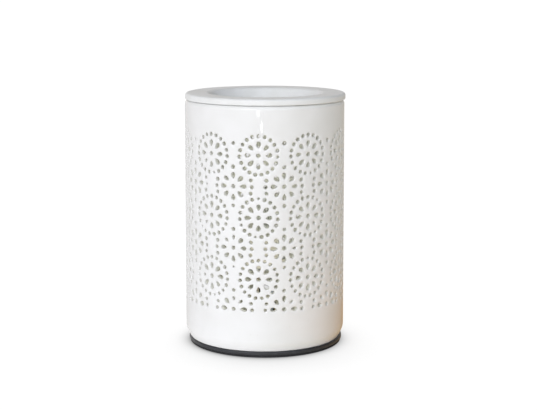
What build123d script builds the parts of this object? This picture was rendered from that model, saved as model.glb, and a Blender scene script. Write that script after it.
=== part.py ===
from build123d import *
import math
import os

# Pierced porcelain oil burner, warmed by a small plug-in capsule lamp.
# Millimetres, +Z up. The foot stands on z = 0, the axis of the shade is Z and the front faces -Y.

# Base plate and foot pad
plate_margin = 0.4
plate_thickness = 2.1
plate_edge_chamfer = 0.9
pad_inset = 0.6
pad_thickness = 1.5

# Porcelain shade
shade_height = 143.9
shade_radius = 48.0
shade_wall = 3.6
shade_floor = 4.0
foot_inset = 2.4
foot_taper_height = 5.2
foot_rounding = 9.0
shoulder_rounding = 2.3
inner_floor_chamfer = 2.5

# Lace pierced in the shade
lace_columns = 10
lace_rows = 3
lace_top_margin = 28.5
lace_bottom_margin = 25.4
lace_last_row_share = 0.5
lace_turn = -4.1
petal_count = 8
petal_tip_radius = 4.0
petal_end_radius = 8.7
petal_width = 2.7
petal_across_share = (0, 0.5, -0.5)
petal_along_share = (0, 1, 1)

# Oil dish
dish_seat_gap = 0.2
rim_overhang = 0.3
rim_thickness = 3.45
rim_edge_rounding = 1.6
rim_width = 14.1
well_taper = 7.2
well_depth = 12.5
well_floor_rounding = 5.0
dish_floor_thickness = 3.4
dish_wall = 3.8
locating_ring_depth = 3.0
locating_ring_clearance = 1.2
dish_belly_chamfer = 4.0

# Lamp bracket, bent from steel strip
strip_thickness = 1.2
strip_width = 14.0
bracket_height = 36.0
bracket_side_margin = 2.5
bracket_foot_margin = 6.4
bracket_bend_radius = 1.6
foot_pad_thickness = 1.0
foot_pad_length = 11.0

# Screws that clamp the base plate, the shade's floor and the bracket
base_screw_radius = 1.5
base_screw_head_radius = 2.8
base_screw_head_height = 1.4
base_screw_end_stand = 1.0
screw_clearance = 0.2
thread_clearance = 0.05
nut_across_flats = 5.5
nut_height = 2.4
nut_gap = 1.8

# Lampholder, of porcelain
holder_ear_margin = 2.9
holder_width = 14.0
holder_flange_height = 5.0
holder_tower_wall = 2.4
holder_tower_width = 11.0
holder_height = 17.0
holder_edge_rounding = 1.5
holder_screw_gap = 0.3
holder_screw_radius = 1.4
holder_screw_head_radius = 2.3
holder_screw_head_height = 1.6
holder_screw_end_stand = 1.5
pinch_recess_depth = 4.0
contact_pocket_length = 4.4
contact_pocket_width = 3.6
contact_floor = 3.0
contact_thickness = 0.4
contact_length = 3.0
contact_height = 6.0

# Capsule lamp
lamp_seat_gap = 0.3
lamp_pole_half_spacing = 4.5
pinch_margin = 0.5
pinch_width = 3.6
pinch_height = 12.0
envelope_radius = 6.8
envelope_length = 24.0
envelope_crown_radius = 4.0
envelope_crown_height = 3.2
envelope_wall = 1.0
pinch_fit_clearance = 0.3
loop_wire = 0.8
loop_length = 2.6
loop_drop = 5.4
loop_embedment = 3.0
contact_grip_clearance = 0.08
filament_wire = 0.25
filament_height = 9.0
filament_half_width = 2.2
filament_zigzags = 4

# Terminal block
block_length = 19.0
block_width = 12.0
block_height = 12.0
block_standoff = 13.0
block_wire_height = 5.0
block_wire_bore = 1.5
barrel_side = 5.0
barrel_end_recess = 1.0
barrel_clearance = 0.1
block_screw_radius = 1.4
block_screw_sink = 1.0
block_screw_gap = 0.1
block_chamfer = 1.0

# Leads from the lampholder to the terminal block
lead_radius = 0.9
lead_bend_radius = 5.5
lead_exit_height = 2.6
lead_standoff = 7.0
lead_entry_depth = 5.0
lead_clearance = 0.15

# Rubber grommet where the mains cord passes the shade's wall
grommet_height = 12.4
grommet_bore_radius = 3.0
grommet_groove_radius = 4.4
grommet_flange_radius = 6.0
grommet_flange_thickness = 1.4
grommet_clearance = 0.1

# Every cut runs past the surface that it opens by this much
cut_overrun = 1.0

# A rounded edge of a turned body is made of this many flats
rounding_flats = 2

# Radii that follow from the sizes above
foot_contact_radius = shade_radius - foot_inset
plate_radius = foot_contact_radius + plate_margin
pad_radius = plate_radius - pad_inset
inside_radius = shade_radius - shade_wall
rim_radius = shade_radius + rim_overhang
well_lip_radius = rim_radius - rim_width
well_floor_radius = well_lip_radius - well_taper
nut_corner_radius = nut_across_flats / math.sqrt(3)

# Lengths of the lamp, its holder and the bracket, from the inside out
pinch_length = 2 * (lamp_pole_half_spacing + loop_length / 2 + pinch_margin)
pinch_recess_length = pinch_length + 2 * pinch_fit_clearance
holder_tower_length = pinch_recess_length + 2 * holder_tower_wall
holder_screw_half_spacing = holder_tower_length / 2 + holder_screw_gap + holder_screw_head_radius
holder_length = 2 * (holder_screw_half_spacing + holder_ear_margin)
bracket_half_span = holder_length / 2 + bracket_side_margin
base_screw_half_spacing = bracket_half_span + bracket_bend_radius + nut_gap + nut_corner_radius
bracket_foot_end = base_screw_half_spacing + bracket_foot_margin

# Heights and depths that follow from the sizes above
plate_top = pad_thickness + plate_thickness
floor_top = plate_top + shade_floor
shade_top = plate_top + shade_height
dish_seat = shade_top + dish_seat_gap
lace_top_row = shade_top - lace_top_margin
lace_height = shade_height - lace_top_margin - lace_bottom_margin
lace_pitch = lace_height / (lace_rows - lace_last_row_share)
bracket_base = floor_top + foot_pad_thickness
bracket_top = bracket_base + bracket_height
holder_top = bracket_top + holder_height
recess_floor = holder_top - pinch_recess_depth
lamp_base = recess_floor + lamp_seat_gap
pinch_top = lamp_base + pinch_height
envelope_top = pinch_top + envelope_length
lead_drop = strip_width / 2 + lead_standoff
block_top = floor_top + block_height
block_middle = strip_width / 2 + block_standoff + block_width / 2
block_wire = floor_top + block_wire_height
nut_base = bracket_base + strip_thickness
contact_base = bracket_top + contact_floor


def rounded_corner(before, corner, after, rounding):
    """Points along the arc that rounds a corner between its two neighbours."""
    towards_before = (before - corner).normalized()
    towards_after = (after - corner).normalized()
    half_angle = math.radians(towards_before.get_angle(towards_after)) / 2
    centre = corner + (towards_before + towards_after).normalized() * (rounding / math.sin(half_angle))
    start = corner + towards_before * (rounding / math.tan(half_angle)) - centre
    end = corner + towards_after * (rounding / math.tan(half_angle)) - centre
    points = []
    for number in range(rounding_flats + 1):
        along = number / rounding_flats
        points.append(centre + (start * (1 - along) + end * along).normalized() * rounding)
    return points


def turned(corners):
    """Body turned about Z, whose outline runs through the corners (radius, height, rounding)."""
    places = [Vector(radius, height) for radius, height, _ in corners]
    points = []
    for number, (_, _, rounding) in enumerate(corners):
        if rounding:
            after = places[(number + 1) % len(places)]
            points += rounded_corner(places[number - 1], places[number], after, rounding)
        else:
            points.append(places[number])
    return revolve(Plane.XZ * make_face(Polyline(*points, close=True)), Axis.Z)


def upright_cylinder(radius, bottom, top, across=0, along=0):
    """Cylinder that stands at (across, along) from one height to another."""
    body = Cylinder(radius, top - bottom, align=(Align.CENTER, Align.CENTER, Align.MIN))
    return Pos(across, along, bottom) * body


def upright_box(length, width, bottom, top, across=0, along=0):
    """Box that stands centred at (across, along) from one height to another."""
    body = Box(length, width, top - bottom, align=(Align.CENTER, Align.CENTER, Align.MIN))
    return Pos(across, along, bottom) * body


def mirrored_pair(body):
    """The body and its mirror image on the other side of the YZ plane."""
    return [body, mirror(body, Plane.YZ)]


def foot_pad():
    """Soft disc under the base plate, on which the burner stands."""
    return upright_cylinder(pad_radius, 0, pad_thickness)


def base_plate():
    """Black moulded plate under the shade, with countersunk screw holes."""
    plate = turned([
        (0, pad_thickness, 0),
        (plate_radius, pad_thickness, 0),
        (plate_radius, plate_top - plate_edge_chamfer, 0),
        (plate_radius - plate_edge_chamfer, plate_top, 0),
        (0, plate_top, 0),
    ])
    for side in (-1, 1):
        across = side * base_screw_half_spacing
        bore = base_screw_radius + screw_clearance
        plate -= upright_cylinder(bore, pad_thickness, plate_top + cut_overrun, across)
        plate -= base_screw_head(across, screw_clearance)
    return plate


def base_screw_head(across, margin):
    """Countersunk head, flush with the plate's underside; a margin widens it to its seat."""
    head = Cone(
        base_screw_head_radius + margin,
        base_screw_radius + margin,
        base_screw_head_height,
        align=(Align.CENTER, Align.CENTER, Align.MIN),
    )
    return Pos(across, 0, pad_thickness) * head


def petal_outline():
    """Teardrop petal along +Y, its tip towards the rosette's centre."""
    length = petal_end_radius - petal_tip_radius
    points = [
        (across * petal_width, along * length - length / 2)
        for across, along in zip(petal_across_share, petal_along_share)
    ]
    return make_face(Polyline(*points, close=True))


def hole_through_wall(outline, azimuth, height):
    """Cutter that takes an outline square through the shade's wall at an azimuth and a height."""
    start = inside_radius - cut_overrun
    turn = math.radians(azimuth)
    face_plane = Plane(
        origin=(start * math.sin(turn), -start * math.cos(turn), height),
        x_dir=(math.cos(turn), math.sin(turn), 0),
        z_dir=(math.sin(turn), -math.cos(turn), 0),
    )
    return extrude(face_plane * outline, shade_wall + 2 * cut_overrun)


def rosette_holes(azimuth, height):
    """Cutters of one rosette, a ring of petals."""
    petal = petal_outline()
    middle = (petal_tip_radius + petal_end_radius) / 2
    holes = []
    for number in range(petal_count):
        angle = 2 * math.pi * number / petal_count
        sideways = math.degrees(middle * math.sin(angle) / shade_radius)
        turned_petal = Rot(0, 0, -math.degrees(angle)) * petal
        holes.append(hole_through_wall(turned_petal, azimuth + sideways, height + middle * math.cos(angle)))
    return holes


def lace_holes():
    """Rosettes in columns all round the shade."""
    holes = []
    for column in range(lace_columns):
        for row in range(lace_rows):
            height = lace_top_row - row * lace_pitch
            holes += rosette_holes(lace_turn + column * 360 / lace_columns, height)
    return holes


def pierced_shade():
    """Slip-cast porcelain shade: floor, tapered foot, pierced wall and open mouth."""
    shade = turned([
        (0, plate_top, 0),
        (foot_contact_radius, plate_top, 0),
        (shade_radius, plate_top + foot_taper_height, foot_rounding),
        (shade_radius, shade_top, shoulder_rounding),
        (inside_radius, shade_top, 0),
        (inside_radius, floor_top + inner_floor_chamfer, 0),
        (inside_radius - inner_floor_chamfer, floor_top, 0),
        (0, floor_top, 0),
    ])
    for side in (-1, 1):
        bore = base_screw_radius + screw_clearance
        across = side * base_screw_half_spacing
        shade -= upright_cylinder(bore, plate_top - cut_overrun, floor_top + cut_overrun, across)
    cord_hole = Circle(grommet_groove_radius + grommet_clearance)
    shade -= hole_through_wall(cord_hole, 180, floor_top + grommet_height)
    return shade - lace_holes()


def oil_dish():
    """Porcelain dish that rests on the shade's mouth: flat rim, deep well and locating ring."""
    top = dish_seat + rim_thickness
    well_floor = top - well_depth
    underside = well_floor - dish_floor_thickness
    ring_radius = inside_radius - locating_ring_clearance
    return turned([
        (0, well_floor, 0),
        (well_floor_radius, well_floor, well_floor_rounding),
        (well_lip_radius, top, 0),
        (rim_radius, top, rim_edge_rounding),
        (rim_radius, dish_seat, rim_edge_rounding),
        (ring_radius, dish_seat, 0),
        (ring_radius, dish_seat - locating_ring_depth, 0),
        (well_lip_radius + dish_wall, dish_seat - locating_ring_depth, 0),
        (well_floor_radius + dish_wall, underside + dish_belly_chamfer, 0),
        (well_floor_radius + dish_wall - dish_belly_chamfer, underside, 0),
        (0, underside, 0),
    ])


def bracket_line():
    """Centre line of the bent strip, from foot to foot, in the XZ plane."""
    half_strip = strip_thickness / 2
    leg = bracket_half_span - half_strip
    low = bracket_base + half_strip
    high = bracket_top - half_strip
    return FilletPolyline(
        (-bracket_foot_end, low),
        (-leg, low),
        (-leg, high),
        (leg, high),
        (leg, low),
        (bracket_foot_end, low),
        radius=bracket_bend_radius + half_strip,
    )


def lamp_bracket():
    """Steel strip bent to a bridge that carries the lampholder above the floor."""
    profile = offset(bracket_line(), strip_thickness / 2, side=Side.BOTH)
    strip = extrude(Plane.XZ * make_face(profile.edges()), strip_width / 2, both=True)
    for side in (-1, 1):
        foot = side * base_screw_half_spacing
        head = side * holder_screw_half_spacing
        foot_bore = base_screw_radius + screw_clearance
        head_bore = holder_screw_radius + thread_clearance
        strip -= upright_cylinder(foot_bore, floor_top, bracket_base + 2 * cut_overrun, foot)
        strip -= upright_cylinder(head_bore, bracket_top - 2 * cut_overrun, bracket_top + cut_overrun, head)
    return strip


def bracket_pads():
    """Fibre pads that keep the bracket's feet off the porcelain."""
    place = base_screw_half_spacing
    pad = upright_box(foot_pad_length, strip_width, floor_top, bracket_base, place)
    bore = base_screw_radius + screw_clearance
    pad -= upright_cylinder(bore, floor_top - cut_overrun, bracket_base + cut_overrun, place)
    return mirrored_pair(pad)


def base_screws():
    """Countersunk screws, put in from below."""
    end = nut_base + nut_height + base_screw_end_stand
    screw = base_screw_head(base_screw_half_spacing, 0)
    screw += upright_cylinder(base_screw_radius, pad_thickness, end, base_screw_half_spacing)
    return mirrored_pair(screw)


def base_nuts():
    """Hexagon nuts on the bracket's feet."""
    blank = extrude(RegularPolygon(nut_across_flats / 2, 6, major_radius=False), nut_height)
    place = base_screw_half_spacing
    nut = Pos(place, 0, nut_base) * blank
    bore = base_screw_radius + thread_clearance
    nut -= upright_cylinder(bore, nut_base - cut_overrun, nut_base + nut_height + cut_overrun, place)
    return mirrored_pair(nut)


def lampholder_body():
    """Porcelain block: a flange with screw ears and a tower with the lamp's recess and pockets."""
    flange_top = bracket_top + holder_flange_height
    flange = upright_box(holder_length, holder_width, bracket_top, flange_top)
    flange = fillet(flange.edges().filter_by(Axis.Z), holder_edge_rounding)
    tower = upright_box(holder_tower_length, holder_tower_width, bracket_top, holder_top)
    tower = chamfer(tower.faces().sort_by(Axis.Z)[-1].edges(), holder_edge_rounding / 2)
    body = flange + tower
    recess_width = pinch_width + 2 * pinch_fit_clearance
    body -= upright_box(pinch_recess_length, recess_width, recess_floor, holder_top + cut_overrun)
    for side in (-1, 1):
        pole = side * lamp_pole_half_spacing
        ear = side * holder_screw_half_spacing
        ear_bore = holder_screw_radius + screw_clearance
        body -= upright_box(contact_pocket_length, contact_pocket_width, contact_base, recess_floor, pole)
        body -= upright_cylinder(ear_bore, bracket_top - cut_overrun, flange_top + cut_overrun, ear)
        body -= lead_passage(pole)
    return body


def lead_passage(pole):
    """Hole from a contact pocket to the lampholder's back face."""
    bore = Cylinder(
        lead_radius + lead_clearance,
        holder_tower_width / 2 + cut_overrun * 2,
        align=(Align.CENTER, Align.CENTER, Align.MAX),
        rotation=(90, 0, 0),
    )
    return Pos(pole, 0, bracket_top + lead_exit_height + contact_floor - contact_thickness) * bore


def lampholder_contacts():
    """Bronze clips, each with two leaves that grip one loop of the lamp."""
    gap = loop_wire + 2 * contact_grip_clearance
    width = gap + 2 * contact_thickness
    top = contact_base + contact_height
    clip = upright_box(contact_length, width, contact_base, top, lamp_pole_half_spacing)
    clip -= upright_box(
        contact_length + 2 * cut_overrun, gap, contact_base + contact_thickness, top + cut_overrun,
        lamp_pole_half_spacing,
    )
    return mirrored_pair(clip)


def lampholder_screws():
    """Pan-head screws through the lampholder's ears into the bracket's tapped holes."""
    seat = bracket_top + holder_flange_height
    end = bracket_top - strip_thickness - holder_screw_end_stand
    place = holder_screw_half_spacing
    screw = upright_cylinder(holder_screw_radius, end, seat, place)
    screw += upright_cylinder(holder_screw_head_radius, seat, seat + holder_screw_head_height, place)
    return mirrored_pair(screw)


def lamp_envelope():
    """Quartz capsule: a flat pinch, a round bulb and the sealed space inside it."""
    bulb = turned([
        (0, pinch_top, 0),
        (envelope_radius, pinch_top, 0),
        (envelope_radius, envelope_top - envelope_crown_height, 0),
        (envelope_crown_radius, envelope_top, 0),
        (0, envelope_top, 0),
    ])
    inside = envelope_radius - envelope_wall
    hollow_top = envelope_top - envelope_wall
    hollow = turned([
        (0, pinch_top + envelope_wall, 0),
        (inside, pinch_top + envelope_wall, 0),
        (inside, hollow_top - envelope_crown_height, 0),
        (envelope_crown_radius - envelope_wall, hollow_top, 0),
        (0, hollow_top, 0),
    ])
    pinch = upright_box(pinch_length, pinch_width, lamp_base, pinch_top + envelope_wall)
    for side in (-1, 1):
        pinch -= upright_box(
            loop_length, loop_wire, lamp_base - cut_overrun, lamp_base + loop_embedment,
            side * lamp_pole_half_spacing,
        )
    return bulb + pinch - hollow


def lamp_loops():
    """Wire loops under the pinch that plug into the contacts."""
    bottom = lamp_base - loop_drop
    top = lamp_base + loop_embedment
    pole = lamp_pole_half_spacing
    loop = upright_box(loop_length, loop_wire, bottom, top, pole)
    eye = loop_length - 2 * loop_wire
    loop -= upright_box(eye, loop_wire + cut_overrun, bottom + loop_wire, top + cut_overrun, pole)
    return mirrored_pair(loop)


def lamp_filament():
    """Tungsten wire that zigzags between its two supports inside the bulb."""
    low = pinch_top + envelope_wall + filament_wire
    high = low + filament_height
    step = 2 * filament_half_width / filament_zigzags
    points = [(-filament_half_width, low)]
    for number in range(filament_zigzags + 1):
        across = -filament_half_width + number * step
        points.append((across, high if number % 2 == 0 else high - filament_half_width))
    points.append((filament_half_width, low))
    outline = offset(Polyline(*points), filament_wire / 2, side=Side.BOTH, kind=Kind.INTERSECTION)
    return extrude(Plane.XZ * make_face(outline.edges()), filament_wire / 2, both=True)


def terminal_block():
    """Two-pole block on the floor behind the bracket, with a pocket for each barrel along Y."""
    block = upright_box(block_length, block_width, floor_top, block_top, 0, block_middle)
    top_edges = block.faces().sort_by(Axis.Z)[-1].edges().filter_by(Axis.X)
    block = chamfer(top_edges, block_chamfer)
    for side in (-1, 1):
        pole = side * lamp_pole_half_spacing
        half_pocket = barrel_side / 2 + barrel_clearance
        pocket_length = block_width + 2 * cut_overrun
        low = block_wire - half_pocket
        high = block_wire + half_pocket
        block -= upright_box(2 * half_pocket, pocket_length, low, high, pole, block_middle)
        shaft = block_screw_radius + thread_clearance
        block -= upright_cylinder(shaft, block_wire, block_top + cut_overrun, pole, block_middle)
    return block


def terminal_barrels():
    """Square brass barrels with a bore for the wires and a tapped hole for the screw."""
    length = block_width - 2 * barrel_end_recess
    low = block_wire - barrel_side / 2
    barrel = upright_box(
        barrel_side, length, low, low + barrel_side, lamp_pole_half_spacing, block_middle,
    )
    bore = Cylinder(block_wire_bore, length + 2 * cut_overrun, rotation=(90, 0, 0))
    barrel -= Pos(lamp_pole_half_spacing, block_middle, block_wire) * bore
    shaft = block_screw_radius + thread_clearance
    barrel -= upright_cylinder(shaft, block_wire, block_top, lamp_pole_half_spacing, block_middle)
    return mirrored_pair(barrel)


def terminal_screws():
    """Slotless grub screws that press on the wires."""
    low = block_wire + lead_radius + block_screw_gap
    high = block_top - block_screw_sink
    screw = upright_cylinder(block_screw_radius, low, high, lamp_pole_half_spacing, block_middle)
    return mirrored_pair(screw)


def lamp_lead(side):
    """Sleeved lead, six-sided, from a contact down behind the bracket and into the terminal block."""
    pole = side * lamp_pole_half_spacing
    high = bracket_top + lead_exit_height + contact_floor - contact_thickness
    start = contact_pocket_width / 2
    route = FilletPolyline(
        (pole, start, high),
        (pole, lead_drop, high),
        (pole, lead_drop, block_wire),
        (pole, block_middle + lead_entry_depth - lead_radius, block_wire),
        radius=lead_bend_radius,
    )
    section = Plane(origin=route @ 0, x_dir=(1, 0, 0), z_dir=route % 0) * RegularPolygon(lead_radius, 6)
    return sweep(section, path=route)


def cord_grommet():
    """Rubber grommet in the back of the shade; its bore is where the mains cord goes in."""
    height = floor_top + grommet_height
    outside = shade_radius + grommet_clearance
    inside = math.sqrt(inside_radius ** 2 - grommet_flange_radius ** 2) - grommet_clearance
    grommet = turned([
        (grommet_bore_radius, inside - grommet_flange_thickness, 0),
        (grommet_flange_radius, inside - grommet_flange_thickness, 0),
        (grommet_flange_radius, inside, 0),
        (grommet_groove_radius, inside, 0),
        (grommet_groove_radius, outside, 0),
        (grommet_flange_radius, outside, 0),
        (grommet_flange_radius, outside + grommet_flange_thickness, 0),
        (grommet_bore_radius, outside + grommet_flange_thickness, 0),
    ])
    return Pos(0, 0, height) * Rot(-90, 0, 0) * grommet


def write_node(name, body):
    """Writes one node, a solid or a group of separate solids, to its own file."""
    solids = body if isinstance(body, list) else [body]
    shape = Compound(children=[Compound(one.solids()) for one in solids])
    shape.label = name
    export_step(shape, f"parts/{name}.step")


def main():
    """Builds every node and writes it."""
    os.makedirs("parts", exist_ok=True)
    write_node("foot_pad", foot_pad())
    write_node("base_plate", base_plate())
    write_node("pierced_shade", pierced_shade())
    write_node("oil_dish", oil_dish())
    write_node("lamp_bracket", lamp_bracket())
    write_node("bracket_pads", bracket_pads())
    write_node("base_screws", base_screws())
    write_node("base_nuts", base_nuts())
    write_node("lampholder_body", lampholder_body())
    write_node("lampholder_contacts", lampholder_contacts())
    write_node("lampholder_screws", lampholder_screws())
    write_node("lamp_envelope", lamp_envelope())
    write_node("lamp_loops", lamp_loops())
    write_node("lamp_filament", lamp_filament())
    write_node("terminal_block", terminal_block())
    write_node("terminal_barrels", terminal_barrels())
    write_node("terminal_screws", terminal_screws())
    write_node("lead_live", lamp_lead(-1))
    write_node("lead_neutral", lamp_lead(1))
    write_node("cord_grommet", cord_grommet())


main()
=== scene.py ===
import logging
import math
import random
from dataclasses import dataclass, field
from enum import Enum
from typing import Callable, Sequence

import bmesh
import bpy
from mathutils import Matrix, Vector
from mathutils.geometry import delaunay_2d_cdt
from mathutils.kdtree import KDTree


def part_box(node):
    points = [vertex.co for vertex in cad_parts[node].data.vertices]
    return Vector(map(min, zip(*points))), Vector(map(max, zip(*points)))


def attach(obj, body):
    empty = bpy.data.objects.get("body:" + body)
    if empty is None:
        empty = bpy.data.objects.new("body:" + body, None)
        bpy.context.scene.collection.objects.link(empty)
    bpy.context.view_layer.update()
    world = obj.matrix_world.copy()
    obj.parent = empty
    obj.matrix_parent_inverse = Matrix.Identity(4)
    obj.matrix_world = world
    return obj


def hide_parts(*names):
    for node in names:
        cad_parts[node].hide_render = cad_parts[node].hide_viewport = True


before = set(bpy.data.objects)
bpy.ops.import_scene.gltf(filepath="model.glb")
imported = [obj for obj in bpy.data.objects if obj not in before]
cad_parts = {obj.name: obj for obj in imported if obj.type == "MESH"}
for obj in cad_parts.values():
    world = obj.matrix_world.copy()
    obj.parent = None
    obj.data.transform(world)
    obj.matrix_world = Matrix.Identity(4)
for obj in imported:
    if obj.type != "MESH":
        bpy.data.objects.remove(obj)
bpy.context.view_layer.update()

# Porcelain oil burner: a pierced white shade on a thin black base, a loose oil dish and a capsule lamp.
# Metres, +Z up, the front faces -Y. Sizes are written in millimetres times MM.

MM = 0.001
# Vertices of one piece that are nearer than this become one.
WELD = 1e-7
# Points nearer than this count as one while triangles are laid out.
LAYOUT_TOLERANCE = 1e-9
# The outer rim is the first of a sheet's loops.
OUTER_RIM = 0
# A straight run gets guard points when it is longer than this many guards.
GUARDS_IN_A_RUN = 4
# Octaves of noise: one reads as smooth waves, two as a worked surface.
SMOOTH_DETAIL = 1.0
WORKED_DETAIL = 2.0
WHITE = "#FFFFFF"
log = logging.getLogger("oil_burner")

Place = tuple[float, float]
Span = tuple[float, float]
Colour = tuple[float, float, float, float]
Triple = tuple[float, float, float]
Node = bpy.types.Node
Socket = bpy.types.NodeSocket
Tree = bpy.types.NodeTree
Mesh = bmesh.types.BMesh
Vert = bmesh.types.BMVert
Ring = list[bmesh.types.BMVert]
Shape = Callable[[float], Place]


class Body(Enum):
    """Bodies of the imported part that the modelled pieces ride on."""

    BURNER = "burner"
    DISH = "dish"


# Materials


def linear(hex_colour: str) -> Colour:
    """Turns an sRGB hex colour into linear light.

    Args:
        hex_colour: six hex digits, with or without a leading #.

    Returns:
        Red, green and blue in linear light, and an alpha of 1.
    """
    digits = hex_colour.lstrip("#")
    channels = []
    for start in (0, 2, 4):
        share = int(digits[start:start + 2], 16) / 255
        channels.append(share / 12.92 if share <= 0.04045 else ((share + 0.055) / 1.055) ** 2.4)
    return (channels[0], channels[1], channels[2], 1.0)


def add_node(tree: Tree, kind: str, settings: dict | None = None, inputs: dict | None = None) -> Node:
    """Adds a node, sets its properties and fills or links its inputs.

    Args:
        tree: node tree that gets the node.
        kind: Blender's name of the node's type.
        settings: properties by name.
        inputs: socket by name or number, each a value or an output socket to link.

    Returns:
        The new node.
    """
    node = tree.nodes.new(kind)
    for name, value in (settings or {}).items():
        setattr(node, name, value)
    for name, value in (inputs or {}).items():
        if isinstance(value, Socket):
            tree.links.new(value, node.inputs[name])
        else:
            node.inputs[name].default_value = value
    return node


def new_material(name: str) -> tuple[bpy.types.Material, Tree, Socket]:
    """Starts an empty node material.

    Args:
        name: the material's name.

    Returns:
        The material, its tree and the surface socket of its output.
    """
    material = bpy.data.materials.new(name)
    material.use_nodes = True
    tree = material.node_tree
    tree.nodes.clear()
    output = add_node(tree, "ShaderNodeOutputMaterial")
    return material, tree, output.inputs["Surface"]


def scaled_noise(
    tree: Tree, grain_mm: float, detail: float = WORKED_DETAIL, stretch: Triple = (1.0, 1.0, 1.0),
) -> Socket:
    """Adds noise whose grains have a real size.

    Args:
        tree: node tree that gets the nodes.
        grain_mm: size of one grain, in millimetres.
        detail: number of finer octaves.
        stretch: how many times finer the grain is along X, Y and Z.

    Returns:
        The noise, from 0 to 1.
    """
    place = add_node(tree, "ShaderNodeTexCoord")
    mapping = add_node(tree, "ShaderNodeMapping", None, {"Vector": place.outputs["Object"], "Scale": stretch})
    noise = add_node(tree, "ShaderNodeTexNoise", None, {
        "Vector": mapping.outputs["Vector"], "Scale": 1 / (grain_mm * MM), "Detail": detail,
    })
    return noise.outputs["Fac"]


def ramp(tree: Tree, source: Socket, span: Span, result: Span = (0.0, 1.0), eased: bool = False) -> Socket:
    """Adds a clamped map of one range onto another.

    Args:
        tree: node tree that gets the node.
        source: the value to map.
        span: the values that become the first and the last result.
        result: the first and the last result.
        eased: whether the map flattens out at both ends.

    Returns:
        The mapped value.
    """
    settings = {"clamp": True, "interpolation_type": "SMOOTHSTEP" if eased else "LINEAR"}
    node = add_node(tree, "ShaderNodeMapRange", settings, {
        "Value": source, "From Min": span[0], "From Max": span[1], "To Min": result[0], "To Max": result[1],
    })
    return node.outputs["Result"]


def calculate(
    tree: Tree, operation: str, first: Socket | float, second: Socket | float = 0.0, clamp: bool = False,
) -> Socket:
    """Adds a sum with numbers.

    Args:
        tree: node tree that gets the node.
        operation: Blender's name of the operation.
        first: the first number.
        second: the second number, for operations that have one.
        clamp: whether the result is kept between 0 and 1.

    Returns:
        The result.
    """
    settings = {"operation": operation, "use_clamp": clamp}
    return add_node(tree, "ShaderNodeMath", settings, {0: first, 1: second}).outputs[0]


def distance_from(tree: Tree, place: Socket, middle: Triple) -> Socket:
    """Adds the distance of a place from a fixed middle.

    Args:
        tree: node tree that gets the nodes.
        place: the place.
        middle: the fixed point.

    Returns:
        The distance.
    """
    shifted = add_node(tree, "ShaderNodeVectorMath", {"operation": "SUBTRACT"}, {0: place, 1: middle})
    away = add_node(tree, "ShaderNodeVectorMath", {"operation": "LENGTH"}, {0: shifted.outputs[0]})
    return away.outputs["Value"]


def add_shaders(tree: Tree, first: Socket, second: Socket) -> Socket:
    """Adds two shaders together and returns their sum."""
    return add_node(tree, "ShaderNodeAddShader", None, {0: first, 1: second}).outputs[0]


def blend_colours(tree: Tree, share: Socket, first: Socket | Colour, second: Socket | Colour) -> Socket:
    """Adds a colour mix.

    Args:
        tree: node tree that gets the node.
        share: how much of the second colour there is, from 0 to 1.
        first: socket or linear colour.
        second: socket or linear colour.

    Returns:
        The mixed colour.
    """
    node = add_node(tree, "ShaderNodeMix", {"data_type": "RGBA"}, {0: share, 6: first, 7: second})
    return node.outputs[2]


def bumped(tree: Tree, relief: Socket, height_mm: float, under: Socket | None = None) -> Socket:
    """Adds a bump.

    Args:
        tree: node tree that gets the node.
        relief: the relief, from 0 to 1.
        height_mm: its height, in millimetres.
        under: normal that it lies over, if that isn't the surface's own.

    Returns:
        The bumped normal.
    """
    inputs = {"Height": relief, "Distance": height_mm * MM, "Strength": 1.0}
    if under is not None:
        inputs["Normal"] = under
    return add_node(tree, "ShaderNodeBump", None, inputs).outputs["Normal"]


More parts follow.
